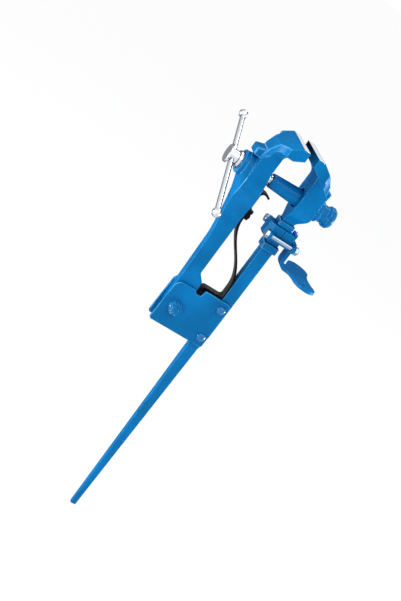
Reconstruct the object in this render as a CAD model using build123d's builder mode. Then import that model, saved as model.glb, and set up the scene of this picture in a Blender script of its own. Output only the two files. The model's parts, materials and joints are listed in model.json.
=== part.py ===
from build123d import *
import os
from math import cos, radians, sin

# Leg vise with forged jaws. Lengths in millimetres, +Z up, the jaws' width along Y, the bench on the
# +X side. The origin is on the underside of the bench plate, midway between its two screw holes.
# Heights are measured from the foot of the leg and stations along X from the leg's axis.

# Heights that the rest hangs on, and the place of the frame
screw_height = 1004.5
pivot_height = 620.0
bench_reach = 120.0
bench_drop = 166.5
bench_height = screw_height - bench_drop

# Longer than any cut that goes right through
through = 300.0

# Leg, a square bar that tapers to its foot
leg_front = 10.5
leg_rear = 21.0
leg_depth = 30.0
foot_front = 5.1
foot_rear = 6.4
foot_depth = 13.0
waist_height = pivot_height - 68
waist_front = 8.0
waist_rear = 11.5
waist_depth = 20.0
square_height = pivot_height - 30
square_rounding = 30.0
foot_rounding = 2.5
corner_bevel = 2.0

# Jaws: depths are measured back from the clamping face and drops down from the top
jaw_width = 150.0
jaw_rise = 115.5
jaw_top = screw_height + jaw_rise
fixed_face = -48.4
opening = 24.6
clamp_drop = 23.5
land_depth = 18.0
land_rounding = 16.0
wing_depth = 44.0
wing_back_drop = 17.0
wing_drop = 37.0
wing_rounding = 3.0
crown_depth = 60.0
crown_drop = 25.0
crown_rounding = 12.0
back_drop = 48.0
heel_inset = 5.0
heel_drop = 70.0
head_drop = 86.0
throat_drop = 42.0
throat_rounding = 22.0
bow_depth = 54.0
bow_half_width = 47.0
spine_half_width = 28.0
# how far one outline of the head runs past another, so that no two faces of the cuts coincide
overrun = 6.0
pad_width = 50.0
pad_front = 50.0
pad_reach = 96.0
pad_height = 20.0
pad_slope = 14.0
pad_rounding = 4.0
pad_bevel = 2.5
pad_bottom = screw_height + 33.5

# Bosses round the screw
fixed_boss_rear = 40.0
fixed_boss_width = 72.0
fixed_boss_bottom = screw_height - 38.5
fixed_crown_depth = 84.0
moving_boss_depth = 77.0
moving_boss_width = 74.0
moving_boss_bottom = screw_height - 44.5
moving_inner_depth = 34.0
boss_blend = 30.0
boss_top = screw_height + 41.5
boss_shoulder = screw_height + 72.0
arm_inner = -95.5
arm_outer = -134.0
# the arm is slimmest a little above the middle between its pivot and its boss
arm_waist_offset = 45.0
arm_waist_height = (pivot_height + moving_boss_bottom - boss_blend) / 2 + arm_waist_offset
arm_bend = 200.0
boss_bend = 60.0
foot_bulge = -79.0
foot_bulge_height = pivot_height + 86
seat_swell_height = 61.5
seat_swell_drop = 28.0

# Hinge
pivot_station = -101.0
pivot_diameter = 20.0
pivot_clearance = 0.1
pivot_nut_height = 16.0
pivot_tip = 4.0
rivet_clearance = 0.05
thread_fit = 0.05
hinge_clearance = 0.3
knuckle_radius = 29.0
cheek_thickness = 8.0
cheek_front = -138.0
cheek_rear = 17.0
cheek_bottom = pivot_height - 58
cheek_top = pivot_height + 74
rivet_diameter = 12.0
rivet_head = 24.0
rivet_rise = 6.0
rivet_heights = (pivot_height - 34, pivot_height + 51.5)
bolt_head_flats = 30.0
bolt_head_height = 12.0

# Leaf spring and its keeper
spring_thickness = 5.0
spring_width = 27.0
spring_seat_gap = 0.3
spring_bend = 9.0
spring_lift = cheek_top + 30
spring_landing = screw_height - 112.5
spring_hook_height = screw_height - 44.5
spring_hook_radius = 11.0
spring_tip = 10.0
ear_height = 12.0
notch_station = -70.0
notch_width = 13.0
notch_floor = cheek_top - 18
keeper_bottom = screw_height - 110.5
keeper_height = 27.0
keeper_thickness = 9.0
keeper_screw = 6.0
keeper_screw_gap = 13.0
keeper_screw_grip = 12.0
keeper_bevel = 1.5

# Collars and bracket
collar_wall = 6.0
collar_fit = 0.1
collar_bevel = 3.0
upper_collar_bottom = bench_height + 89
upper_collar_height = 15.0
lower_collar_bottom = bench_height + 20
lower_collar_height = 19.0
bracket_width = 92.0
bracket_height = 38.0
bracket_split = 9.0
split_gap = 1.0
body_width = 56.0
body_rounding = 10.0
yoke_corner = 13.0
ear_thickness = 9.0
ear_depth = 22.0
yoke_front = -34.0
yoke_ear_front = -26.0
bar_rear = 52.0
bar_body_rear = 40.0
bracket_fit = 0.2
bracket_bolt = 12.0
bracket_bolt_gap = 70.0
near_bolt_rise = 11.0
far_bolt_rise = 26.0
bolt_clearance = 0.5
hex_flats = 19.0
hex_height = 8.0
bolt_tip = 3.0
neck_front = 48.0
neck_width = 40.0
bend_radius = 21.0
plate_thickness = 8.0
bench_hole = 11.0
bench_hole_gap = 100.0
lobe_radius = 31.0
plate_notch = 141.0

# Screw box, which rocks a little in the fixed eye
box_front = -90.0
box_nose_diameter = 36.0
box_shank_diameter = 43.0
box_rear = 93.0
box_barrel_diameter = 45.0
box_wall = 8.0
box_cone_end = -20.0
box_rock_centre = 10.0
box_rock_radius = 43.3
seat_gap = 0.5
shoulder_diameter = 57.0
shoulder_rear = 53.0
shoulder_cone = 59.0
flange_diameter = 55.0
flange_length = 16.0
flange_cone = 7.0
fixed_eye_diameter = 52.0
key_width = 8.0
key_rise = 4.0
key_seat = 3.0
key_length = 34.0
key_front = -2.0
key_clearance = 1.0
rock_allowance = 4.0

# Screw, thrust ring and washer
screw_diameter = 26.0
screw_clearance = 0.3
screw_rear = 65.0
thrust_centre = -200.0
thrust_sphere = 30.0
thrust_gap = 0.6
ring_diameter = 60.0
ring_bore = 36.0
ring_front = -180.0
ring_bevel = 3.0
seat_front = -167.0
eye_outer_diameter = 40.0
eye_inner_width = 46.0
eye_inner_drop = 32.0
eye_inner_rise = 24.0
washer_diameter = 43.0
washer_back = -188.0
head_diameter = 34.0
head_end = -215.0
head_collar = 48.0
head_collar_length = 7.0
face_clearance = 0.1
# a ball-shaped seat is turned as this many cones
seat_steps = 3

# Handle
handle_station = -201.0
handle_diameter = 13.0
handle_fit = 0.3
handle_length = 343.0
handle_turn = 28.6
handle_slide = 22.0
knob_diameter = 22.0
knob_length = 20.0
knob_bevel = 5.0

# the profiles of the vise from the side: local x is the station and local y the height
side = Plane(origin=(-bench_reach, 0, -bench_height), x_dir=(1, 0, 0), z_dir=(0, -1, 0))
screw_middle = (-bench_reach, 0, screw_height - bench_height)
screw_side = Plane(origin=screw_middle, x_dir=(1, 0, 0), z_dir=(0, -1, 0))
moving_face = fixed_face - opening
arm_depth = leg_depth - 2 * hinge_clearance
keeper_screws = [
    (0, keeper_bottom + (keeper_height + way * keeper_screw_gap) / 2) for way in (-1, 1)
]
fixed_inner_depth = -leg_front - fixed_face
screw_axis = Axis((0, 0, screw_height - bench_height), (1, 0, 0))


os.makedirs("parts", exist_ok=True)


def level(height):
    return Plane((-bench_reach, 0, height - bench_height))


def across(station):
    # local x runs along +Y and local y is the height above the foot
    origin = (station - bench_reach, 0, -bench_height)
    return Plane(origin=origin, x_dir=(0, 1, 0), z_dir=(1, 0, 0))


def about_screw(station):
    origin = (station - bench_reach, 0, screw_height - bench_height)
    return Plane(origin=origin, x_dir=(0, 1, 0), z_dir=(1, 0, 0))


def save(piece, name):
    piece.part.label = name
    export_step(piece.part, f"parts/{name}.step")


def ball_seat(centre, radius, first, last):
    # stations and radii of a ball's surface about the screw's axis, between two distances from it
    steps = [first + (last - first) * n / seat_steps for n in range(seat_steps + 1)]
    return [(centre + (radius**2 - step**2) ** 0.5, step) for step in steps]


def jaw_head(face, way, boss_width, inner_depth, back_depth):
    # way is the side of the clamping face that the metal is on
    half = jaw_width / 2
    outline = [
        (0, 0, 1.5),
        (land_depth, 0, land_rounding),
        (wing_depth, wing_back_drop, 5),
        (crown_depth, crown_drop, crown_rounding),
        (back_depth - heel_inset, back_drop, 8),
        (back_depth, heel_drop, 0),
        (back_depth, head_drop, 0),
        (inner_depth, head_drop, 0),
        (inner_depth, throat_drop, throat_rounding),
        (0, clamp_drop, 0.5),
    ]
    points = [(face + way * depth, jaw_top - drop) for depth, drop, radius in outline]
    with BuildPart() as head:
        with BuildSketch(side):
            with BuildLine():
                FilletPolyline(*points, radius=[corner[2] for corner in outline], close=True)
            make_face()
        extrude(amount=half + overrun, both=True)
        # seen along X the wings spread from the boss to the jaw's full width
        with BuildSketch(across(-through)):
            with BuildLine():
                wing = jaw_top - wing_drop
                root = boss_width / 2
                FilletPolyline(
                    (0, jaw_top + overrun),
                    (half, jaw_top + overrun),
                    (half, wing),
                    (root, wing - 3),
                    (root, jaw_top - head_drop - overrun),
                    (0, jaw_top - head_drop - overrun),
                    radius=[0, wing_rounding, throat_rounding * 0.8, 0],
                )
                mirror(about=Plane.YZ)
            make_face()
        extrude(amount=2 * through, mode=Mode.INTERSECT)
        # seen from above the back is a spine between two hollows
        with BuildSketch(level(jaw_top - head_drop - overrun)):
            with BuildLine():
                front = face - way * overrun
                back = face + way * (back_depth + overrun)
                a = Line((front, 0), (front, half + overrun))
                b = Line(a @ 1, (face + way * (wing_depth - 1), half + overrun))
                c = ThreePointArc(
                    b @ 1,
                    (face + way * bow_depth, bow_half_width),
                    (face + way * back_depth, spine_half_width),
                )
                d = Line(c @ 1, (back, spine_half_width - 1))
                e = Line(d @ 1, (back, 0))
                mirror(about=Plane.XZ)
            make_face()
        extrude(amount=through, mode=Mode.INTERSECT)
    return head.part


def pad(face, way):
    inner = face + way * pad_front
    outer = face + way * pad_reach
    with BuildPart() as block:
        with BuildSketch(side):
            with BuildLine():
                FilletPolyline(
                    (inner, pad_bottom),
                    (outer, pad_bottom),
                    (outer, pad_bottom + pad_height),
                    (inner, pad_bottom + pad_height + pad_slope),
                    radius=[0, pad_rounding, pad_rounding, 0],
                    close=True,
                )
            make_face()
        extrude(amount=pad_width / 2, both=True)
        chamfer(block.edges().filter_by(Axis.Z), length=pad_bevel)
    return block.part


def section(front, rear, depth):
    # a forged square section with bevelled corners, on the plane in use
    with Locations(((rear - front) / 2, 0)):
        bar = Rectangle(front + rear, depth)
    chamfer(bar.vertices(), corner_bevel)


# Leg with the fixed jaw
collar_top = upper_collar_bottom + upper_collar_height
fixed_fan = jaw_head(fixed_face, 1, fixed_boss_width, fixed_inner_depth, fixed_crown_depth)
fixed_pad = pad(fixed_face, 1)

with BuildPart() as leg:
    with BuildSketch(side):
        with BuildLine():
            FilletPolyline(
                (-waist_front, waist_height),
                (waist_rear, waist_height),
                (leg_rear, square_height),
                (leg_rear, fixed_boss_bottom - 16),
                (fixed_boss_rear, fixed_boss_bottom + 8),
                (fixed_boss_rear, boss_top),
                (fixed_face + wing_depth, boss_shoulder),
                (-leg_front, boss_shoulder),
                (-leg_front, square_height),
                radius=[0, 0, square_rounding, 16, 20, 0, 0, 0, square_rounding],
                close=True,
            )
        make_face()
    extrude(amount=fixed_boss_width / 2, both=True)
    with BuildSketch(across(-through)):
        with BuildLine():
            half_boss = fixed_boss_width / 2
            a = Line((0, waist_height), (waist_depth / 2, waist_height))
            b = Line(a @ 1, (leg_depth / 2, square_height))
            c = Line(b @ 1, (leg_depth / 2, collar_top))
            d = Bezier(
                c @ 1,
                (leg_depth / 2, screw_height - 44),
                (half_boss, screw_height - 44),
                (half_boss, screw_height - 8),
            )
            e = Line(d @ 1, (half_boss, boss_shoulder))
            f = Line(e @ 1, (0, boss_shoulder))
            mirror(about=Plane.YZ)
        make_face()
    extrude(amount=2 * through, mode=Mode.INTERSECT)
    add(fixed_fan)
    add(fixed_pad)
    # the long taper below the hinge, its corners bevelled
    with BuildSketch(level(0)):
        section(foot_front, foot_rear, foot_depth)
    with BuildSketch(level(waist_height)):
        section(waist_front, waist_rear, waist_depth)
    loft()
    fillet(leg.faces().sort_by(Axis.Z)[0].edges(), radius=foot_rounding)
    # domed seat behind the eye for the thrust shoulder of the screw box, which rocks on it
    with BuildSketch(screw_side):
        dome_edge = (box_rock_radius**2 - (fixed_boss_rear - box_rock_centre) ** 2) ** 0.5
        with BuildLine():
            dome = ball_seat(box_rock_centre, box_rock_radius, dome_edge, fixed_eye_diameter / 2)
            floor = (box_rock_centre, fixed_eye_diameter / 2)
            Polyline((box_rock_centre, dome_edge), *dome, floor, close=True)
        make_face()
    revolve(axis=screw_axis)
    # the eye, with a keyway above it
    with BuildSketch(about_screw(-leg_front - 40)):
        Circle(fixed_eye_diameter / 2)
        with Locations((0, box_shank_diameter / 2)):
            Rectangle(key_width + key_clearance, 2 * (key_rise + rock_allowance))
    extrude(amount=150, mode=Mode.SUBTRACT)
    with BuildSketch(side):
        with Locations(*[(0, height) for height in rivet_heights]):
            Circle(rivet_diameter / 2 + rivet_clearance)
    extrude(amount=leg_depth, both=True, mode=Mode.SUBTRACT)

save(leg, "leg_with_fixed_jaw")


# Moving jaw
moving_fan = jaw_head(
    moving_face, -1, moving_boss_width, moving_inner_depth, moving_boss_depth
)
moving_pad = pad(moving_face, -1)
inner_face = moving_face - moving_inner_depth
moving_boss_outer = moving_face - moving_boss_depth

with BuildPart() as jaw:
    with BuildSketch(side):
        with BuildLine():
            FilletPolyline(
                (pivot_station + knuckle_radius, pivot_height),
                (foot_bulge, foot_bulge_height),
                (arm_inner, foot_bulge_height + 18),
                (arm_inner, moving_boss_bottom - 18),
                (inner_face, screw_height + 20),
                (inner_face, boss_shoulder),
                (moving_face - wing_depth, boss_shoulder),
                (moving_boss_outer, boss_top),
                (moving_boss_outer, moving_boss_bottom - boss_blend),
                (arm_outer, arm_waist_height),
                (pivot_station - knuckle_radius, pivot_height),
                radius=[0, 8, 12, boss_bend, boss_bend, 0, 0, 0, boss_bend, arm_bend, 0],
                close=True,
            )
        make_face()
        with Locations((pivot_station, pivot_height)):
            Circle(knuckle_radius)
    extrude(amount=moving_boss_width / 2, both=True)
    # the outside swells up to the round seat for the thrust ring
    with BuildSketch(about_screw(seat_front)):
        Circle(ring_diameter / 2 + 1)
    with BuildSketch(about_screw(moving_boss_outer + 2)):
        with Locations((0, -seat_swell_drop)):
            Ellipse(moving_boss_width / 2 - 1, seat_swell_height)
    loft()
    with BuildSketch(across(-through)):
        with BuildLine():
            half_boss = moving_boss_width / 2
            a = Line((0, pivot_height - 60), (arm_depth / 2, pivot_height - 60))
            b = Line(a @ 1, (arm_depth / 2, moving_boss_bottom - 80))
            c = Bezier(
                b @ 1,
                (arm_depth / 2, moving_boss_bottom - 30),
                (half_boss, moving_boss_bottom - 24),
                (half_boss, moving_boss_bottom + 22),
            )
            d = Line(c @ 1, (half_boss, boss_shoulder))
            e = Line(d @ 1, (0, boss_shoulder))
            mirror(about=Plane.YZ)
        make_face()
    extrude(amount=2 * through, mode=Mode.INTERSECT)
    add(moving_fan)
    add(moving_pad)
    # the eye flares downwards to the inside, because the arm tips against the screw
    with BuildSketch(about_screw(seat_front)):
        Circle(eye_outer_diameter / 2)
    with BuildSketch(about_screw(arm_inner)):
        with Locations((0, (eye_inner_rise - eye_inner_drop) / 2)):
            Ellipse(eye_inner_width / 2, (eye_inner_rise + eye_inner_drop) / 2)
    loft(mode=Mode.SUBTRACT)
    with BuildSketch(side):
        with Locations((pivot_station, pivot_height)):
            Circle(pivot_diameter / 2 + pivot_clearance)
    extrude(amount=moving_boss_width, both=True, mode=Mode.SUBTRACT)
    with BuildSketch(across(arm_inner)):
        with Locations(*keeper_screws):
            Circle(keeper_screw / 2 + thread_fit)
    extrude(amount=-keeper_screw_grip - thread_fit, mode=Mode.SUBTRACT)

save(jaw, "moving_jaw")


# Cheek plates of the hinge, one each side, and what holds them
def cheek(way):
    near = side.offset(way * leg_depth / 2)
    with BuildPart() as plate:
        with BuildSketch(near):
            with BuildLine():
                FilletPolyline(
                    (cheek_front, cheek_bottom),
                    (cheek_front + 4, cheek_top - 10),
                    (notch_station - notch_width, cheek_top - 10),
                    (notch_station - notch_width / 2, notch_floor),
                    (notch_station + notch_width / 2, notch_floor),
                    (notch_station + notch_width / 2 + 5, cheek_top),
                    (cheek_rear, cheek_top),
                    (cheek_rear, cheek_bottom),
                    radius=[6, 20, 5, 4, 4, 6, 12, 6],
                    close=True,
                )
            make_face()
            with Locations((pivot_station, pivot_height)):
                Circle(pivot_diameter / 2 + pivot_clearance, mode=Mode.SUBTRACT)
            with Locations(*[(0, height) for height in rivet_heights]):
                Circle(rivet_diameter / 2 + rivet_clearance, mode=Mode.SUBTRACT)
        extrude(amount=way * cheek_thickness)
    return plate


save(cheek(1), "near_cheek_plate")
save(cheek(-1), "far_cheek_plate")

half_grip = leg_depth / 2 + cheek_thickness

with BuildPart() as rivets:
    with BuildSketch(side):
        with Locations(*[(0, height) for height in rivet_heights]):
            Circle(rivet_diameter / 2)
    extrude(amount=half_grip, both=True)
    for way in (-1, 1):
        with BuildSketch(side.offset(way * half_grip)):
            with Locations(*[(0, height) for height in rivet_heights]):
                Circle(rivet_head / 2)
        extrude(amount=way * rivet_rise)
    rims = rivets.edges().filter_by(GeomType.CIRCLE).group_by(Axis.Y)
    chamfer(rims[0] + rims[-1], length=rivet_rise * 0.6)

save(rivets, "cheek_rivets")

bolt_under_head = half_grip
with BuildPart() as pivot_bolt:
    with BuildSketch(side.offset(-bolt_under_head)):
        with Locations((pivot_station, pivot_height)):
            RegularPolygon(bolt_head_flats / 2, 6, major_radius=False)
    extrude(amount=-bolt_head_height)
    with BuildSketch(side.offset(-bolt_under_head)):
        with Locations((pivot_station, pivot_height)):
            Circle(pivot_diameter / 2)
    extrude(amount=2 * half_grip + pivot_nut_height + pivot_tip)
    chamfer(pivot_bolt.faces().sort_by(Axis.Y)[0].edges(), length=pivot_tip / 2)

save(pivot_bolt, "pivot_bolt")

with BuildPart() as pivot_nut:
    with BuildSketch(side.offset(half_grip)):
        with Locations((pivot_station, pivot_height)):
            RegularPolygon(bolt_head_flats / 2, 6, major_radius=False)
            Circle(pivot_diameter / 2 + thread_fit, mode=Mode.SUBTRACT)
    extrude(amount=pivot_nut_height)

save(pivot_nut, "pivot_nut")


# Leaf spring: its ears hook into the notches, its back leans on the leg, its end lies on the arm
spring_low = -leg_front - spring_seat_gap - spring_thickness / 2
spring_high = arm_inner + spring_seat_gap + spring_thickness / 2
spring_floor = cheek_top + spring_seat_gap + spring_thickness / 2

with BuildPart() as spring:
    with BuildSketch(side):
        with BuildLine():
            ear_tip = (notch_station, notch_floor + spring_seat_gap)
            a = Line(ear_tip, (notch_station, spring_floor - spring_bend))
            b = TangentArc(a @ 1, (notch_station + spring_bend, spring_floor), tangent=(0, 1))
            c = Line(b @ 1, (spring_low - spring_bend, spring_floor))
            d = TangentArc(c @ 1, (spring_low, spring_floor + spring_bend), tangent=(1, 0))
            e = Line(d @ 1, (spring_low, spring_lift))
            rise = spring_landing - spring_lift
            f = Bezier(
                e @ 1,
                (spring_low, spring_lift + 0.42 * rise),
                (spring_high, spring_landing - 0.36 * rise),
                (spring_high, spring_landing),
            )
            g = Line(f @ 1, (spring_high, spring_hook_height))
            h = JernArc(g @ 1, (0, 1), spring_hook_radius, -115)
            Line(h @ 1, (h @ 1) + (h % 1) * spring_tip)
        trace(line_width=spring_thickness)
    extrude(amount=spring_width / 2, both=True)
    with BuildSketch(side):
        with Locations((notch_station, notch_floor + spring_seat_gap + ear_height / 2)):
            Rectangle(spring_thickness, ear_height)
    extrude(amount=half_grip, both=True)
    with BuildSketch(across(arm_inner)):
        with Locations(*keeper_screws):
            Circle(keeper_screw / 2 + bolt_clearance)
    extrude(amount=3 * spring_thickness, mode=Mode.SUBTRACT)

save(spring, "leaf_spring")

keeper_back = spring_high + spring_thickness / 2 + spring_seat_gap

with BuildPart() as keeper:
    with BuildSketch(across(keeper_back)):
        with Locations((0, keeper_bottom + keeper_height / 2)):
            Rectangle(spring_width, keeper_height)
        with Locations(*keeper_screws):
            Circle(keeper_screw / 2 + thread_fit, mode=Mode.SUBTRACT)
    extrude(amount=keeper_thickness)
    chamfer(keeper.faces().sort_by(Axis.X)[-1].outer_wire().edges(), length=keeper_bevel)

save(keeper, "spring_keeper")

with BuildPart() as keeper_bolts:
    with BuildSketch(across(arm_inner - keeper_screw_grip)):
        with Locations(*keeper_screws):
            Circle(keeper_screw / 2)
    extrude(amount=keeper_back + keeper_thickness - arm_inner + keeper_screw_grip)
    with BuildSketch(across(keeper_back + keeper_thickness)):
        with Locations(*keeper_screws):
            RegularPolygon(keeper_screw * 0.8, 6, major_radius=False)
    extrude(amount=keeper_screw * 0.7)

save(keeper_bolts, "keeper_screws")


# Collars shrunk on the leg above and below the bracket
def collar(bottom, height):
    with BuildPart() as ring:
        with BuildSketch(level(bottom)):
            with Locations(((leg_rear - leg_front) / 2, 0)):
                width = leg_front + leg_rear
                band = Rectangle(width + 2 * collar_wall, leg_depth + 2 * collar_wall)
            chamfer(band.vertices(), length=collar_bevel)
            with Locations(((leg_rear - leg_front) / 2, 0)):
                Rectangle(width + 2 * collar_fit, leg_depth + 2 * collar_fit, mode=Mode.SUBTRACT)
        extrude(amount=height)
        for end in (0, -1):
            chamfer(ring.faces().sort_by(Axis.Z)[end].outer_wire().edges(), length=collar_bevel / 2)
    return ring


save(collar(upper_collar_bottom, upper_collar_height), "upper_collar")
save(collar(lower_collar_bottom, lower_collar_height), "lower_collar")


# Bracket: a yoke in front of the leg and the bench bracket behind it. Each has an ear on both sides,
# the far one higher than the near one.
bracket_top = upper_collar_bottom
bracket_bottom = bracket_top - bracket_height
bolt_places = [
    (-bracket_bolt_gap / 2, bracket_bottom + near_bolt_rise),
    (bracket_bolt_gap / 2, bracket_bottom + far_bolt_rise),
]


def ears(front):
    # a bar across the leg with a rounded end round each bolt
    with BuildPart() as pair:
        with BuildSketch(across(front)):
            for y, height in bolt_places:
                with Locations((y, height)):
                    Circle(ear_depth / 2)
                with Locations((y / 2, height)):
                    Rectangle(abs(y), ear_depth)
        extrude(amount=ear_thickness)
    return pair.part


with BuildPart() as bracket_cuts:
    with BuildSketch(across(-through)):
        with Locations(*bolt_places):
            Circle(bracket_bolt / 2 + bolt_clearance)
    extrude(amount=2 * through)
    with BuildSketch(level(bracket_bottom - 1)):
        with Locations(((leg_rear - leg_front) / 2, 0)):
            Rectangle(leg_front + leg_rear + 2 * bracket_fit, leg_depth + 2 * bracket_fit)
    extrude(amount=bracket_height + 2)

with BuildPart() as yoke:
    with BuildSketch(level(bracket_bottom)):
        rear = bracket_split - split_gap / 2
        with Locations(((yoke_front + rear) / 2, 0)):
            body = Rectangle(rear - yoke_front, body_width)
        chamfer(body.vertices().group_by(Axis.X)[0], length=yoke_corner)
    extrude(amount=bracket_height)
    add(ears(yoke_ear_front))
    add(bracket_cuts.part, mode=Mode.SUBTRACT)

save(yoke, "bracket_yoke")

with BuildPart() as bracket:
    with BuildSketch(level(bracket_bottom)):
        front = bracket_split + split_gap / 2
        with Locations(((front + bar_body_rear) / 2, 0)):
            Rectangle(bar_body_rear - front, body_width)
    extrude(amount=bracket_height)
    fillet(bracket.edges().filter_by(Axis.Y).group_by(Axis.Z)[-1].sort_by(Axis.X)[-1], radius=body_rounding)
    add(ears(bar_rear - ear_thickness))
    with BuildSketch(level(bracket_bottom)):
        with Locations(((front + bar_rear) / 2, 0)):
            Rectangle(bar_rear - front, neck_width)
    extrude(amount=near_bolt_rise + ear_depth / 2)
    add(bracket_cuts.part, mode=Mode.SUBTRACT)
    with BuildSketch(side):
        with BuildLine():
            inner_bend = bend_radius - plate_thickness
            neck_rear = neck_front + plate_thickness
            neck_top = bracket_bottom + near_bolt_rise + ear_depth / 2
            plate_top = bench_height + plate_thickness
            FilletPolyline(
                (neck_front, neck_top),
                (neck_front, bench_height),
                (bench_reach, bench_height),
                (bench_reach, plate_top),
                (neck_rear, plate_top),
                (neck_rear, neck_top),
                radius=[0, bend_radius, 0, 0, inner_bend, 0],
                close=True,
            )
        make_face()
    extrude(amount=neck_width / 2, both=True)
    with BuildSketch(level(bench_height)):
        lobe = bench_hole_gap / 2
        with BuildLine():
            start = neck_front + bend_radius
            a = Line((start, 0), (start, neck_width / 2))
            b = Bezier(
                a @ 1,
                (start + 12, neck_width / 2),
                (bench_reach - lobe_radius - 2, lobe - 14),
                (bench_reach - lobe_radius, lobe),
            )
            c = Line(b @ 1, (bench_reach + lobe_radius * 0.9, lobe - 10))
            d = Bezier(
                c @ 1,
                (bench_reach + lobe_radius * 0.8, lobe - 26),
                (plate_notch, lobe - 32),
                (plate_notch, 0),
            )
            mirror(about=Plane.XZ)
        make_face()
        with Locations((bench_reach, lobe), (bench_reach, -lobe)):
            Circle(lobe_radius)
            Circle(bench_hole / 2, mode=Mode.SUBTRACT)
    extrude(amount=plate_thickness)

save(bracket, "bench_bracket")

nut_face = bar_rear
with BuildPart() as bracket_bolts:
    with BuildSketch(across(yoke_ear_front)):
        with Locations(*bolt_places):
            RegularPolygon(hex_flats / 2, 6, major_radius=False)
    extrude(amount=-hex_height)
    with BuildSketch(across(yoke_ear_front)):
        with Locations(*bolt_places):
            Circle(bracket_bolt / 2)
    extrude(amount=nut_face + hex_height + bolt_tip - yoke_ear_front)

save(bracket_bolts, "bracket_bolts")

with BuildPart() as bracket_nuts:
    with BuildSketch(across(nut_face)):
        with Locations(*bolt_places):
            RegularPolygon(hex_flats / 2, 6, major_radius=False)
            Circle(bracket_bolt / 2 + thread_fit, mode=Mode.SUBTRACT)
    extrude(amount=hex_height)

save(bracket_nuts, "bracket_nuts")


# Screw box: the long nut, closed at the rear
box_bore = screw_diameter / 2 + screw_clearance

with BuildPart() as box:
    with BuildSketch(screw_side):
        with BuildLine():
            shank = box_shank_diameter / 2
            shoulder = shoulder_diameter / 2
            cup = box_rock_radius + seat_gap
            barrel = box_barrel_diameter / 2
            flange = flange_diameter / 2
            Polyline(
                (box_front, box_bore),
                (box_front, box_nose_diameter / 2),
                (box_cone_end, shank),
                *ball_seat(box_rock_centre, cup, shank, shoulder),
                (shoulder_rear, shoulder),
                (shoulder_cone, barrel),
                (box_rear - flange_length - flange_cone, barrel),
                (box_rear - flange_length, flange),
                (box_rear - flange_cone, flange),
                (box_rear, barrel),
                (box_rear, 0),
                (box_rear - box_wall, 0),
                (box_rear - box_wall, box_bore),
                close=True,
            )
        make_face()
    revolve(axis=screw_axis)
    with BuildSketch(about_screw(key_front)):
        with Locations((0, box_shank_diameter / 2)):
            Rectangle(key_width, 2 * key_seat)
    extrude(amount=key_length, mode=Mode.SUBTRACT)

save(box, "screw_box")

with BuildPart() as key:
    with BuildSketch(about_screw(key_front)):
        with Locations((0, box_shank_diameter / 2 + (key_rise - key_seat) / 2)):
            Rectangle(key_width, key_rise + key_seat)
    extrude(amount=key_length)
    fillet(key.edges().filter_by(Axis.Z), radius=key_width / 2 - 0.5)

save(key, "box_key")


# Thrust ring dished towards the screw, and the domed washer that rocks in it
with BuildPart() as ring:
    with BuildSketch(screw_side):
        with BuildLine():
            bore = ring_bore / 2
            rim = (thrust_sphere**2 - (ring_front - thrust_centre) ** 2) ** 0.5
            outer = ring_diameter / 2
            Polyline(
                *ball_seat(thrust_centre, thrust_sphere, bore, rim),
                (ring_front, outer - ring_bevel),
                (ring_front + ring_bevel, outer),
                (seat_front, outer),
                (seat_front, bore),
                close=True,
            )
        make_face()
    revolve(axis=screw_axis)

save(ring, "thrust_ring")

with BuildPart() as washer:
    with BuildSketch(screw_side):
        with BuildLine():
            dome = thrust_sphere - thrust_gap
            bore = screw_diameter / 2 + face_clearance
            outer = washer_diameter / 2
            Polyline(
                *ball_seat(thrust_centre, dome, bore, outer),
                (washer_back, outer),
                (washer_back, bore),
                close=True,
            )
        make_face()
    revolve(axis=screw_axis)

save(washer, "thrust_washer")


# Clamping screw with its head, bored across for the handle
slope = radians(handle_turn)
handle_way = Vector(0, cos(slope), sin(slope))
handle_origin = Vector(handle_station - bench_reach, 0, screw_height - bench_height)
handle_middle = handle_origin - handle_way * handle_slide


def along_handle(point):
    return Plane(origin=point, x_dir=(1, 0, 0), z_dir=handle_way)


with BuildPart() as screw:
    with BuildSketch(about_screw(washer_back - face_clearance)):
        Circle(screw_diameter / 2)
    extrude(amount=screw_rear - washer_back + face_clearance)
    chamfer(screw.edges().sort_by(Axis.X)[-1], length=2.5)
    with BuildSketch(about_screw(head_end)):
        Circle(head_diameter / 2)
    extrude(amount=washer_back - face_clearance - head_end)
    with BuildSketch(about_screw(head_end)):
        Circle(head_collar / 2)
    extrude(amount=head_collar_length)
    chamfer(screw.edges().sort_by(Axis.X)[0], length=2)
    with BuildSketch(along_handle(handle_origin)):
        Circle(handle_diameter / 2 + handle_fit)
    extrude(amount=head_collar, both=True, mode=Mode.SUBTRACT)

save(screw, "clamping_screw")

with BuildPart() as bar:
    with BuildSketch(along_handle(handle_middle)):
        Circle(handle_diameter / 2)
    extrude(amount=handle_length / 2, both=True)

save(bar, "handle_bar")


def knob(way):
    middle = handle_middle + handle_way * (way * handle_length / 2)
    inner_end = middle - handle_way * (way * knob_length / 2)
    with BuildPart() as turned:
        with BuildSketch(along_handle(inner_end)):
            Circle(knob_diameter / 2)
        extrude(amount=way * knob_length)
        chamfer(turned.edges(), length=knob_bevel)
        with BuildSketch(along_handle(middle)):
            Circle(handle_diameter / 2 + thread_fit)
        extrude(amount=-way * knob_length, mode=Mode.SUBTRACT)
    return turned


save(knob(-1), "near_knob")
save(knob(1), "far_knob")
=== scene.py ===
import json
from math import cos, pi, radians, sin

import bmesh
import bpy
from mathutils import Matrix, Vector


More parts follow.
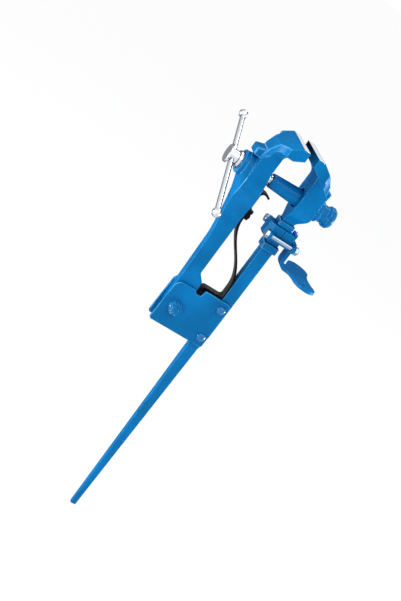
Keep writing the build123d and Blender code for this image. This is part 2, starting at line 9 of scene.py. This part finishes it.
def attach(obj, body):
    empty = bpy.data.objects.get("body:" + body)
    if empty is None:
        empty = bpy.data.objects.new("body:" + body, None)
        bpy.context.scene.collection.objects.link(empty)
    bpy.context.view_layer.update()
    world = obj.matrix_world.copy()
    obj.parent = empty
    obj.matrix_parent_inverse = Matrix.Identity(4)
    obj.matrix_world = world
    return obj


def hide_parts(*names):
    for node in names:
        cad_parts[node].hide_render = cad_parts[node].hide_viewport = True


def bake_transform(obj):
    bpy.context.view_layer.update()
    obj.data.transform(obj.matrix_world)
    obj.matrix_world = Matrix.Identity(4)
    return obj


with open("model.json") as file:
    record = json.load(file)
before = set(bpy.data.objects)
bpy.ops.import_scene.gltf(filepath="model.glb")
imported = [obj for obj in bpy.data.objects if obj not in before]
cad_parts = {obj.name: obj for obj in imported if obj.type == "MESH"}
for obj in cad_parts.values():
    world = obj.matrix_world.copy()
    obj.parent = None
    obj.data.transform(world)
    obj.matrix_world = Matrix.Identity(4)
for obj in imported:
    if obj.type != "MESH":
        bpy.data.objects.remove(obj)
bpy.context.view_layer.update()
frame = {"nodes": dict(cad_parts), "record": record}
nodes = frame["nodes"]
slot_of = {s["node"]: s["material_slot"] for s in frame["record"]["subparts"]}
body_of = {n: b for b, names in frame["record"]["behaviour"]["bodies"].items() for n in names}

# The vise's own measures are in millimetres: stations from the leg's axis towards the bench, heights
# from the leg's foot. The model's frame is in metres, with its origin under the bench plate.
BENCH_REACH = 120.0
BENCH_HEIGHT = 838.0
SCREW_HEIGHT = 1004.5
JAW_TOP = 1120.0
FIXED_FACE = -48.4
MOVING_FACE = -73.0
CLAMP_DROP = 23.5
WAIST_HEIGHT = 552.0
HANDLE_TURN = radians(28.6)
HINGE_STATION, HINGE_HEIGHT = -101.0, 620.0

# Two edges that meet at more than this are a corner, and at less they follow one curve
CORNER = radians(40)


def metres(*lengths):
    return tuple(length / 1000 for length in lengths)


def place(station, y, height):
    return Vector(metres(station - BENCH_REACH, y, height - BENCH_HEIGHT))


# Camera at the photograph's place: it looks across the jaws from the handle's side, rolled to the right
PHOTO = (401, 601)
PHOTO_FOCAL = 1200.0
CAMERA_AT = Vector((-1.076, -2.641, 0.707))
CAMERA_TURN = radians(18.94)
CAMERA_DROP = radians(17.59)
CAMERA_ROLL = radians(36.84)


def make_camera():
    data = bpy.data.cameras.new("camera")
    data.sensor_width = 36.0
    data.lens = PHOTO_FOCAL / max(PHOTO) * data.sensor_width
    data.clip_start, data.clip_end = 0.1, 90.0
    camera = bpy.data.objects.new("camera", data)
    bpy.context.scene.collection.objects.link(camera)
    ahead = Vector((
        sin(CAMERA_TURN) * cos(CAMERA_DROP),
        cos(CAMERA_TURN) * cos(CAMERA_DROP),
        -sin(CAMERA_DROP),
    ))
    upright = ahead.to_track_quat("-Z", "Y")
    roll = Matrix.Rotation(CAMERA_ROLL, 3, ahead).to_quaternion()
    camera.rotation_mode = "QUATERNION"
    camera.rotation_quaternion = roll.inverted() @ upright
    camera.location = CAMERA_AT
    bpy.context.scene.camera = camera


make_camera()


# Shader maths: a socket that adds its own nodes
class Tone:
    def __init__(self, tree, socket):
        self.tree = tree
        self.socket = socket

    def math(self, operation, *others):
        return wire(self.tree, "ShaderNodeMath", {"operation": operation}, (self, *others))

    def __add__(self, other):
        return self.math("ADD", other)

    def __radd__(self, other):
        return self.math("ADD", other)

    def __sub__(self, other):
        return self.math("SUBTRACT", other)

    def __rsub__(self, other):
        return wire(self.tree, "ShaderNodeMath", {"operation": "SUBTRACT"}, (other, self))

    def __mul__(self, other):
        return self.math("MULTIPLY", other)

    def __rmul__(self, other):
        return self.math("MULTIPLY", other)

    def above(self, edge):
        return self.math("GREATER_THAN", edge)

    def below(self, edge):
        return self.math("LESS_THAN", edge)

    def rise(self, low, high):
        # 0 below low, 1 above high, and a smooth step between them
        settings = {"interpolation_type": "SMOOTHSTEP"}
        return wire(self.tree, "ShaderNodeMapRange", settings, (self, low, high, 0.0, 1.0))


def wire(tree, kind, settings, inputs, output=0):
    node = tree.nodes.new(kind)
    for name, value in settings.items():
        setattr(node, name, value)
    items = inputs.items() if isinstance(inputs, dict) else enumerate(inputs)
    for key, value in items:
        if isinstance(value, Tone):
            tree.links.new(value.socket, node.inputs[key])
        elif value is not None:
            node.inputs[key].default_value = value
    return Tone(tree, node.outputs[output])


class Finish:
    """A material in the making: its coordinates, its patterns and the principled shader."""

    def __init__(self, name):
        self.material = bpy.data.materials.new(name)
        self.material.use_nodes = True
        self.tree = self.material.node_tree
        self.shader = self.tree.nodes["Principled BSDF"]
        self.spot = self.node("ShaderNodeTexCoord", {}, (), output=3)
        self.x, self.y, self.z = (
            self.node("ShaderNodeSeparateXYZ", {}, (self.spot,), output=n) for n in range(3)
        )

    def node(self, kind, settings, inputs, output=0):
        return wire(self.tree, kind, settings, inputs, output)

    def noise(self, scale, detail=3.0, roughness=0.5, vector=None):
        inputs = {
            "Vector": vector or self.spot,
            "Scale": scale,
            "Detail": detail,
            "Roughness": roughness,
        }
        return self.node("ShaderNodeTexNoise", {}, inputs)

    def stretched(self, scales, turn=0.0):
        # coordinates for a grain: turned about X and then scaled, so a small scale draws it out
        turned = self.node(
            "ShaderNodeMapping", {}, {"Vector": self.spot, "Rotation": (turn, 0.0, 0.0)}
        )
        return self.node("ShaderNodeMapping", {}, {"Vector": turned, "Scale": scales})

    def mix(self, amount, first, second):
        inputs = {0: amount, 6: first, 7: second}
        return self.node("ShaderNodeMix", {"data_type": "RGBA"}, inputs, output=2)

    def rim(self, low, high):
        # 0 where the surface is looked at squarely, 1 where it turns away
        return self.node("ShaderNodeLayerWeight", {}, {"Blend": 0.5}, output=1).rise(low, high)

    def bump(self, height, strength, distance, below=None):
        inputs = {"Height": height, "Strength": strength, "Distance": distance}
        if below is not None:
            inputs["Normal"] = below
        return self.node("ShaderNodeBump", {}, inputs)

    def finish(self, **sockets):
        for name, value in sockets.items():
            socket = self.shader.inputs[name.replace("_", " ")]
            if isinstance(value, Tone):
                self.tree.links.new(value.socket, socket)
            else:
                socket.default_value = value
        return self.material


def srgb(red, green, blue):
    def linear(value):
        value /= 255.0
        return value / 12.92 if value <= 0.04045 else ((value + 0.055) / 1.055) ** 2.4

    return (linear(red), linear(green), linear(blue), 1.0)


STEEL_DARK = srgb(168, 172, 178)
STEEL_LIGHT = srgb(232, 234, 238)


def blue_enamel(name, wear, thin, gloss=0.2, blur=0.28):
    """Sprayed enamel over a forged skin, with the jaws' lands ground bare, painted shade on the
    clamping faces and towards the outline. Wear adds to the paint that is rubbed through, and thin says
    how much painted highlight lies in pale patches above the hinge. Gloss is the weight of the varnish,
    and blur its roughness."""
    paint = Finish(name)
    cloud = paint.noise(9.0, 2.0)
    hammered = paint.noise(46.0, 3.0, 0.5)
    skin = paint.noise(700.0, 2.0)
    speck = paint.noise(210.0, 4.0, 0.65)
    patch = paint.noise(28.0, 3.0, 0.6)
    colour = paint.mix(cloud.rise(0.35, 0.7), srgb(0, 107, 168), srgb(0, 123, 192))
    colour = paint.mix(hammered.rise(0.55, 0.75) * 0.3, colour, srgb(0, 137, 208))
    above_hinge = paint.z.above(place(0, 0, WAIST_HEIGHT + 5).z)
    # painted highlight: pale patches above the hinge, in the share that thin gives
    colour = paint.mix(patch.rise(0.25, 0.65) * thin * above_hinge, colour, srgb(96, 190, 244))
    # painted shade: darker towards the outline, where the surface turns away
    colour = paint.mix(paint.rim(0.6, 0.95) * 0.4, colour, srgb(0, 46, 88))
    rubbed = (speck * 0.45 + patch * 0.55).rise(0.66 - wear, 0.69 - wear)
    # the flat lands on top of the jaws are bare, and the clamping faces between them get painted shade,
    # darkest towards the far end
    skin_depth = 0.35
    low_x = place(MOVING_FACE - skin_depth, 0, 0).x
    high_x = place(FIXED_FACE + skin_depth, 0, 0).x
    clamp_z = place(0, 0, JAW_TOP - CLAMP_DROP).z
    land = paint.z.above(place(0, 0, JAW_TOP - 0.3).z)
    face = paint.x.above(low_x) * paint.x.below(high_x) * paint.z.above(clamp_z) * (1 - land)
    grain = paint.noise(1.0, 3.0, 0.6, paint.stretched((1500.0, 22.0, 1500.0)))
    steel = paint.mix(grain, STEEL_DARK, STEEL_LIGHT)
    # painted shade on the clamping faces, deepest towards the far end of the gap between the jaws
    painted_shade = face * (0.35 + paint.y.rise(-0.05, 0.03) * 0.6)
    colour = paint.mix(painted_shade, colour, srgb(4, 22, 30))
    bare = land.math("MAXIMUM", rubbed)
    # a thin film of varnish, that shows where it is looked at squarely
    squarely = 1 - paint.rim(0.0, 1.0) * (1 - gloss)
    normal = paint.bump(hammered, 0.2, 0.001)
    normal = paint.bump(skin, 0.05, 0.00012, normal)
    normal = paint.bump(1 - bare, 0.4, 0.0001, normal)
    normal = paint.bump(grain * bare, 0.12, 0.0001, normal)
    return paint.finish(
        Base_Color=paint.mix(bare, colour, steel),
        Metallic=bare * 0.85,
        Roughness=0.13 + hammered * 0.06 + (0.16 + grain * 0.15) * bare,
        Specular_IOR_Level=0.0,
        Coat_Weight=gloss * squarely * (1 - bare) * (1 - painted_shade),
        Coat_Roughness=blur,
        Normal=normal,
    )


def turned_steel():
    """Bright steel off the lathe: fine rings round the screw's axis, a few dull clouds."""
    metal = Finish("turned_steel")
    screw_z = place(0, 0, SCREW_HEIGHT).z
    off_axis = metal.z - screw_z
    radius = (metal.y * metal.y + off_axis * off_axis).math("SQRT")
    rings = metal.node("ShaderNodeCombineXYZ", {}, (metal.x * 2600.0, radius * 2600.0, 0.0))
    marks = metal.noise(1.0, 2.0, 0.6, rings)
    cloud = metal.noise(26.0, 3.0)
    oil = metal.noise(120.0, 4.0, 0.6).rise(0.56, 0.7)
    colour = metal.mix(cloud, srgb(212, 216, 226), srgb(238, 241, 246))
    colour = metal.mix(oil * 0.3, colour, srgb(150, 154, 164))
    # painted dark reflection towards the outline, where the surface turns away
    colour = metal.mix(metal.rim(0.2, 0.62), colour, srgb(84, 90, 102))
    return metal.finish(
        Base_Color=colour,
        Metallic=0.8,
        Roughness=0.18 + marks * 0.16 + oil * 0.12,
        Normal=metal.bump(marks, 0.12, 0.00006),
    )


def drawn_steel():
    """The handle's cold-drawn bar, with streaks along it."""
    metal = Finish("drawn_steel")
    streaks = metal.noise(1.0, 3.0, 0.6, metal.stretched((1800.0, 1800.0, 14.0), HANDLE_TURN - pi / 2))
    cloud = metal.noise(34.0, 3.0)
    colour = metal.mix(cloud, srgb(222, 226, 232), srgb(242, 245, 248))
    # painted dark reflection towards the outline, where the surface turns away
    colour = metal.mix(metal.rim(0.2, 0.62), colour, srgb(84, 90, 102))
    return metal.finish(
        Base_Color=colour,
        Metallic=0.8,
        Roughness=0.2 + streaks * 0.14,
        Normal=metal.bump(streaks, 0.1, 0.00006),
    )


def zinc_plate():
    """Bluish zinc on the bracket's bolts and nuts, with a white bloom in patches."""
    metal = Finish("zinc_plate")
    grain = metal.noise(500.0, 3.0)
    cloud = metal.noise(60.0, 2.0)
    bloom = metal.noise(90.0, 4.0, 0.6).rise(0.58, 0.72)
    colour = metal.mix(cloud, srgb(126, 152, 184), srgb(172, 194, 218))
    colour = metal.mix(bloom * 0.4, colour, srgb(222, 226, 230))
    # painted dark reflection towards the outline, where the surface turns away
    colour = metal.mix(metal.rim(0.2, 0.62), colour, srgb(62, 76, 98))
    return metal.finish(
        Base_Color=colour,
        Metallic=1.0 - bloom * 0.4,
        Roughness=0.26 + grain * 0.16 + bloom * 0.2,
        Normal=metal.bump(grain, 0.08, 0.0001),
    )


def black_steel(name, wear):
    """Oil-blackened spring steel, rubbed grey along its edges."""
    metal = Finish(name)
    scale = metal.noise(160.0, 4.0, 0.6)
    cloud = metal.noise(22.0, 3.0)
    rubbed = (scale * 0.5 + cloud * 0.5).rise(0.62 - wear, 0.7 - wear)
    colour = metal.mix(scale, srgb(5, 6, 8), srgb(17, 18, 22))
    colour = metal.mix(rubbed, colour, srgb(78, 82, 90))
    return metal.finish(
        Base_Color=colour,
        Metallic=rubbed * 0.7,
        Roughness=0.4 + scale * 0.2,
        Specular_IOR_Level=0.08,
        Normal=metal.bump(scale, 0.14, 0.0003),
    )


# Each material slot's finish, and the finish of its rounded edges where that differs
FINISHES = {
    "blue_paint": (
        blue_enamel("blue_enamel", 0.0, 0.0),
        # the rounded edges carry the most painted highlight
        blue_enamel("blue_enamel_edges", 0.03, 0.7, 0.5, 0.22),
    ),
    "bright_steel": (turned_steel(), None),
    "plated_steel": (zinc_plate(), None),
    "spring_steel": (black_steel("black_steel", 0.0), black_steel("black_steel_edges", 0.12)),
}
STEEL, ZINC = FINISHES["bright_steel"][0], FINISHES["plated_steel"][0]
CHIPPED = blue_enamel("blue_enamel_chipped", 0.09, 0.1)
GLOSSY = blue_enamel("blue_enamel_glossy", 0.0, 0.0, 1.0, 0.26)
PLAIN = blue_enamel("blue_enamel_plain", 0.02, 0.15)
DRAWN = drawn_steel()


def dress(o, *materials):
    o.data.materials.clear()
    for material in filter(None, materials):
        o.data.materials.append(material)


for name, o in nodes.items():
    dress(o, FINISHES[slot_of[name]][0])
dress(nodes["handle_bar"], DRAWN)


# Operators on one piece at a time
def activate(o):
    for other in bpy.context.selected_objects:
        other.select_set(False)
    o.select_set(True)
    bpy.context.view_layer.objects.active = o


def edit(o, chosen=None, kind="VERT"):
    """Into edit mode with what chosen says selected: all, or the points or faces that it is true of."""
    activate(o)
    bpy.ops.object.mode_set(mode="EDIT")
    bpy.ops.mesh.select_mode(type=kind)
    bpy.ops.mesh.select_all(action="SELECT" if chosen is None else "DESELECT")
    if chosen is not None:
        bpy.ops.object.mode_set(mode="OBJECT")
        group = o.data.vertices if kind == "VERT" else o.data.polygons
        for item in group:
            item.select = chosen(item)
        bpy.ops.object.mode_set(mode="EDIT")


def leave():
    bpy.ops.object.mode_set(mode="OBJECT")


def apply_modifier(o, kind, **settings):
    activate(o)
    modifier = o.modifiers.new(kind.lower(), kind)
    for name, value in settings.items():
        setattr(modifier, name, value)
    bpy.ops.object.modifier_apply(modifier=modifier.name)


def smooth(o, angle):
    activate(o)
    bpy.ops.object.shade_smooth_by_angle(angle=radians(angle))


def settle(o):
    # the piece's place goes into its mesh
    activate(o)
    bpy.ops.object.transform_apply(location=True, rotation=True, scale=True)


def join(name, *parts):
    activate(parts[0])
    if len(parts) > 1:
        for part in parts[1:]:
            part.select_set(True)
        bpy.ops.object.join()
    parts[0].name = parts[0].data.name = name
    return parts[0]


def merged_copy(node, name, sewing=0.002):
    """A copy of a CAD node with its loose triangles sewn up and its flat faces made whole. Sewing is
    the width in millimetres of what closes up."""
    o = bpy.data.objects.new(name, nodes[node].data.copy())
    o.data.name = name
    bpy.context.scene.collection.objects.link(o)
    edit(o)
    bpy.ops.mesh.customdata_custom_splitnormals_clear()
    bpy.ops.mesh.remove_doubles(threshold=sewing / 1000)
    bpy.ops.mesh.dissolve_limited(angle_limit=radians(0.6))
    leave()
    return o


def curve_through(edge, linked):
    # the sharp edges that follow one curve with this one
    chain, ahead = {edge}, [edge]
    while ahead:
        for other in linked[ahead.pop()]:
            if other not in chain:
                chain.add(other)
                ahead.append(other)
    return chain


def weigh_edges(o, width, spread):
    """Each sharp edge's share of the rounding. A curve has one share all along, less where a short edge
    or a tight bend on it leaves less room."""
    beside_sharp, beside_flat, round_bend, least_turn = 0.45, 0.9, 0.8, 0.01
    shape = bmesh.new()
    shape.from_mesh(o.data)
    shape.edges.index_update()
    sharp = {
        edge: []
        for edge in shape.edges
        if len(edge.link_faces) == 2 and edge.calc_face_angle(0.0) > spread
    }
    rooms = dict.fromkeys(sharp, width)
    for edge, linked in sharp.items():
        length = edge.calc_length()
        for vertex in edge.verts:
            way = vertex.co - edge.other_vert(vertex).co
            for other in vertex.link_edges:
                if other is edge:
                    continue
                reach = other.calc_length()
                turn = way.angle(other.other_vert(vertex).co - vertex.co, 0.0)
                room = width
                if turn > CORNER:
                    room = reach * (beside_sharp if other in sharp else beside_flat)
                elif other in sharp:
                    room = round_bend * min(length, reach) / max(turn, least_turn)
                    linked.append(other)
                rooms[edge] = min(rooms[edge], room)
    shares = [0.0] * len(shape.edges)
    for edge in sharp:
        if not shares[edge.index]:
            curve = curve_through(edge, sharp)
            room = min(rooms[part] for part in curve)
            for part in curve:
                shares[part.index] = room / width
    shape.free()
    layer = o.data.attributes.new("bevel_weight_edge", "FLOAT", "EDGE")
    layer.data.foreach_set("value", shares)


def round_edges(o, width, steps, spread=30.0, blend=32.0):
    """Every edge sharper than spread gets a rounding, with the second finish of the piece on it."""
    weigh_edges(o, width / 1000, radians(spread))
    apply_modifier(
        o,
        "BEVEL",
        width=width / 1000,
        segments=steps,
        limit_method="WEIGHT",
        use_clamp_overlap=False,
        material=len(o.data.materials) - 1,
    )
    smooth(o, blend)
    apply_modifier(o, "WEIGHTED_NORMAL", keep_sharp=True)


def stand_for(node):
    """The piece takes the place of a CAD node, which is hidden."""
    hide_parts(node)


def fuller_taper(o):
    """The leg's taper below the hinge made broader. Its points at the waist and at the foot, which are
    those within reach of each height, move out by so much in front and behind."""
    middle = place(2, 0, 0).x
    for height, reach, front, rear in ((WAIST_HEIGHT, 1.5, 3.8, 6.4), (0.0, 4.0, 1.2, 3.2)):
        level, reach = place(0, 0, height).z, reach / 1000
        for way, out in ((-1, front), (1, rear)):
            edit(o, lambda v: abs(v.co.z - level) < reach and (v.co.x - middle) * way > 0)
            bpy.ops.transform.translate(value=(way * out / 1000, 0, 0))
            leave()


def softened(
    node, name, width, steps=2, spread=30.0, blend=32.0, sewing=0.002, edges=None, shape=None
):
    """A copy of a node with its edges rounded, that takes its place. Edges is their finish, if it isn't
    the one of the node's slot, and shape is what else is done to the copy."""
    o = merged_copy(node, name, sewing)
    if shape:
        shape(o)
    face, edge = FINISHES[slot_of[node]]
    dress(o, face, edges or edge)
    round_edges(o, width, steps, spread, blend)
    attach(o, body_of[node])
    stand_for(node)


# Forgings, plates, rings and knobs: the CAD's shapes with their edges rounded as the real ones are
softened("leg_with_fixed_jaw", "leg_forging", 2.2, 3, sewing=0.4, shape=fuller_taper)
softened("moving_jaw", "arm_forging", 3.0, 3, sewing=0.4)
softened("near_cheek_plate", "near_cheek", 1.2)
softened("far_cheek_plate", "far_cheek", 1.2)
softened("upper_collar", "upper_band", 3.6, 5, edges=GLOSSY)
softened("lower_collar", "lower_band", 3.6, 5, edges=GLOSSY)
softened("bracket_yoke", "front_yoke", 2.2, 3, edges=PLAIN)
softened("bench_bracket", "bench_bracket_forging", 2.0, 3, edges=PLAIN)
softened("thrust_ring", "seat_ring", 0.8)
softened("thrust_washer", "domed_washer", 0.6)
softened("screw_box", "screw_box_casting", 0.9, 2, 24.0, 22.0, edges=GLOSSY)
softened("box_key", "box_feather", 0.6)
softened("spring_keeper", "keeper_plate", 0.7)
softened("keeper_screws", "keeper_hex_screws", 0.5)
softened("near_knob", "near_knob_turned", 2.6, 4, 20.0)
softened("far_knob", "far_knob_turned", 2.6, 4, 20.0)


# Rivets with domed heads
def domed_rivets():
    """Half spheres pressed flatter, on the outer faces of both cheeks."""
    radius, rise, face = 12.0, 9.0, 23.0
    heights = (586.0, 671.5)
    bpy.ops.mesh.primitive_uv_sphere_add(segments=40, ring_count=20, radius=radius / 1000)
    dome = bpy.context.object
    edit(dome)
    bpy.ops.mesh.bisect(
        plane_co=(0, 0, 0), plane_no=(0, 0, 1), use_fill=True, clear_inner=True
    )
    leave()
    edit(dome)
    bpy.ops.transform.resize(value=(1, 1, rise / radius), center_override=(0, 0, 0))
    leave()
    heads = []
    for height in heights:
        for side in (-1, 1):
            head = dome.copy()
            head.data = dome.data.copy()
            bpy.context.scene.collection.objects.link(head)
            head.rotation_euler = (-side * pi / 2, 0, 0)
            head.location = place(0, side * face, height)
            settle(head)
            heads.append(head)
    bpy.data.objects.remove(dome)
    return join("domed_rivets", *heads)


rivets = domed_rivets()
smooth(rivets, 50)
dress(rivets, GLOSSY)
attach(rivets, body_of["cheek_rivets"])
stand_for("cheek_rivets")


# Bolts and nuts: hexagons crowned by a turned blank
def crowned(node, name, along, centres, reach, corner, crown, finish):
    """A copy of a node with the corners of its hexagons turned off. Along is the way that the crowned
    end looks, reach the places of the blank's back and front on it, corner its radius, and crown how
    much smaller the radius of its flat end is."""
    o = merged_copy(node, name)
    back, front = reach
    slope = crown * 0.58
    depth = front - back - slope
    inner = (corner - crown) / corner
    blanks = []
    for centre in centres:
        bpy.ops.mesh.primitive_cylinder_add(vertices=72, radius=corner / 1000, depth=depth / 1000)
        blank = bpy.context.object
        edit(blank, lambda face: face.normal.z > 0.9, "FACE")
        bpy.ops.mesh.extrude_region_move(TRANSFORM_OT_translate={"value": (0, 0, slope / 1000)})
        bpy.ops.transform.resize(value=(inner, inner, 1), center_override=(0, 0, depth / 2000))
        leave()
        blank.rotation_mode = "QUATERNION"
        blank.rotation_quaternion = Vector(along).to_track_quat("Z", "Y")
        blank.location = centre + Vector(along) * ((back + front - slope) / 2000)
        settle(blank)
        blanks.append(blank)
    blank = join("blank", *blanks)
    apply_modifier(o, "BOOLEAN", operation="INTERSECT", object=blank, solver="EXACT")
    bpy.data.objects.remove(blank)
    dress(o, finish)
    smooth(o, 28)
    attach(o, body_of[node])
    stand_for(node)


clamp_bolts = [place(0, -35, 900), place(0, 35, 915)]
crowned("bracket_bolts", "bracket_screws", (-1, 0, 0), clamp_bolts, (-70.0, 34.0), 11.0, 1.7, ZINC)
crowned("bracket_nuts", "bracket_hex_nuts", (1, 0, 0), clamp_bolts, (40.0, 60.0), 11.0, 1.7, ZINC)
hinge = [place(HINGE_STATION, 0, HINGE_HEIGHT)]
crowned("pivot_bolt", "hinge_bolt", (0, 1, 0), hinge, (-50.0, 35.0), 17.35, 2.6, CHIPPED)
crowned("pivot_nut", "hinge_nut", (0, -1, 0), hinge, (10.0, 39.0), 17.35, 2.6, CHIPPED)


# Screw: the head of the CAD's screw on a spindle with a real square thread
def thread_ridge(root, crest, pitch, turns, start, share=0.52, thin=0.88):
    """A helical ridge round the X axis. Share is its foot's width over the pitch, and thin the width
    of its crest over its foot."""
    bpy.ops.mesh.primitive_plane_add(size=1, rotation=(pi / 2, 0, 0))
    ridge = bpy.context.object
    settle(ridge)
    foot, height = share * pitch / 1000, (crest - root) / 1000
    edit(ridge)
    bpy.ops.transform.resize(value=(foot, 1, height), center_override=(0, 0, 0))
    bpy.ops.transform.translate(value=(start / 1000, 0, (crest + root) / 2000))
    leave()
    middle = (crest + root) / 2000
    edit(ridge, lambda vertex: vertex.co.z > middle)
    bpy.ops.transform.resize(value=(thin, 1, 1), center_override=(start / 1000, 0, 0))
    leave()
    edit(ridge)
    bpy.ops.mesh.delete(type="ONLY_FACE")
    leave()
    apply_modifier(
        ridge,
        "SCREW",
        axis="X",
        angle=2 * pi,
        screw_offset=pitch / 1000,
        iterations=turns,
        steps=28,
        render_steps=28,
        use_smooth_shade=False,
    )
    edit(ridge)
    bpy.ops.mesh.remove_doubles(threshold=1e-6)
    bpy.ops.mesh.fill_holes(sides=4)
    bpy.ops.mesh.normals_make_consistent(inside=False)
    leave()
    return ridge


def threaded_spindle():
    """The CAD's screw cut off behind its head, with a threaded core in place of its plain shank."""
    plain_end, rear_end, overlap = -150.0, 65.0, 2
    root, crest, pitch = 10.2, 13.0, 6.0
    sunk, lead_in = 0.3, 3.5
    head = merged_copy("clamping_screw", "spindle")
    dress(head, STEEL)
    edit(head)
    cut = place(plain_end, 0, 0).x
    bpy.ops.mesh.bisect(
        plane_co=(cut, 0, 0), plane_no=(1, 0, 0), use_fill=True, clear_outer=True
    )
    leave()
    round_edges(head, 1.0, 3)
    length = rear_end - plain_end + overlap
    bpy.ops.mesh.primitive_cylinder_add(
        vertices=48, radius=root / 1000, depth=length / 1000, rotation=(0, pi / 2, 0)
    )
    core = bpy.context.object
    core.location = place((plain_end - overlap + rear_end) / 2, 0, SCREW_HEIGHT)
    settle(core)
    apply_modifier(core, "BEVEL", width=0.0015, segments=2, angle_limit=radians(40))
    smooth(core, 30)
    turns = int((rear_end - plain_end - pitch) / pitch)
    ridge = thread_ridge(root - sunk, crest, pitch, turns, plain_end - BENCH_REACH + lead_in)
    ridge.location = (0, 0, place(0, 0, SCREW_HEIGHT).z)
    settle(ridge)
    smooth(ridge, 30)
    for part in (core, ridge):
        dress(part, STEEL)
    return join("threaded_screw", head, core, ridge)


spindle = threaded_spindle()
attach(spindle, body_of["clamping_screw"])
stand_for("clamping_screw")


# Leaf spring: it stays hooked on the cheeks, with its edges rounded
blade = merged_copy("leaf_spring", "leaf_blade")
dress(blade, *FINISHES["spring_steel"])
round_edges(blade, 0.8, 2)
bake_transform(blade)
stand_for("leaf_spring")


# Pale seamless floor and studio light
def seen_plainly(tree):
    # 1 for rays from the camera, off polished metal or through glass
    rays = tree.nodes.new("ShaderNodeLightPath")
    camera, glossy, through = (
        Tone(tree, rays.outputs[name])
        for name in ("Is Camera Ray", "Is Glossy Ray", "Is Transmission Ray")
    )
    return camera.math("MAXIMUM", glossy).math("MAXIMUM", through)


def make_floor():
    bpy.ops.mesh.primitive_plane_add(size=120.0, location=(0, 0, place(0, 0, 0).z))
    floor = bpy.context.object
    floor.name = "floor"
    material = bpy.data.materials.new("floor_paper")
    material.use_nodes = True
    tree = material.node_tree
    paper = tree.nodes["Principled BSDF"]
    paper.inputs["Base Color"].default_value = (0.94, 0.94, 0.94, 1.0)
    paper.inputs["Roughness"].default_value = 1.0
    paper.inputs["Specular IOR Level"].default_value = 0.0
    white = wire(tree, "ShaderNodeEmission", {}, {"Color": (1, 1, 1, 1), "Strength": 1.05})
    seen = seen_plainly(tree) * 0.9
    mixed = wire(tree, "ShaderNodeMixShader", {}, (seen, Tone(tree, paper.outputs[0]), white))
    tree.links.new(mixed.socket, tree.nodes["Material Output"].inputs["Surface"])
    dress(floor, material)


def make_room():
    world = bpy.data.worlds.new("studio")
    bpy.context.scene.world = world
    world.use_nodes = True
    tree = world.node_tree
    room = tree.nodes["Background"]
    room.inputs["Color"].default_value = (0.9, 0.95, 1.0, 1.0)
    room.inputs["Strength"].default_value = 0.32
    white = wire(tree, "ShaderNodeBackground", {}, {"Color": (1, 1, 1, 1), "Strength": 1.0})
    mixed = wire(
        tree, "ShaderNodeMixShader", {}, (seen_plainly(tree), Tone(tree, room.outputs[0]), white)
    )
    tree.links.new(mixed.socket, tree.nodes["World Output"].inputs["Surface"])


VISE_MIDDLE = Vector((-0.15, 0, 0))


def lamp(name, turn, rise, width, height, power, far=3.0):
    """A soft box that looks at the vise's middle. Turn is counted from the photographed side towards
    the bench, and rise from level, both in degrees."""
    data = bpy.data.lights.new(name, "AREA")
    data.shape = "RECTANGLE"
    data.size, data.size_y = width, height
    data.energy = power
    o = bpy.data.objects.new(name, data)
    bpy.context.scene.collection.objects.link(o)
    turn, rise = radians(turn), radians(rise)
    way = Vector((sin(turn) * cos(rise), -cos(turn) * cos(rise), sin(rise)))
    o.location = VISE_MIDDLE + way * far
    o.rotation_mode = "QUATERNION"
    o.rotation_quaternion = (-way).to_track_quat("-Z", "Y")


make_floor()
make_room()
lamp("key", 8, 46, 2.2, 2.2, 57, 4.0)
lamp("left_top", -80, 52, 0.8, 0.8, 20, 3.4)
lamp("left_strip", -97, -7, 1.5, 0.34, 50)
lamp("front_glint", -42, -8, 0.3, 0.34, 14)
lamp("left_corner", -69, -12, 0.5, 0.5, 9)
lamp("right_strip", 97, -6, 2.0, 0.6, 115)
lamp("back", 140, 62, 0.7, 0.7, 34, 3.4)

bpy.context.scene.view_settings.view_transform = "Standard"
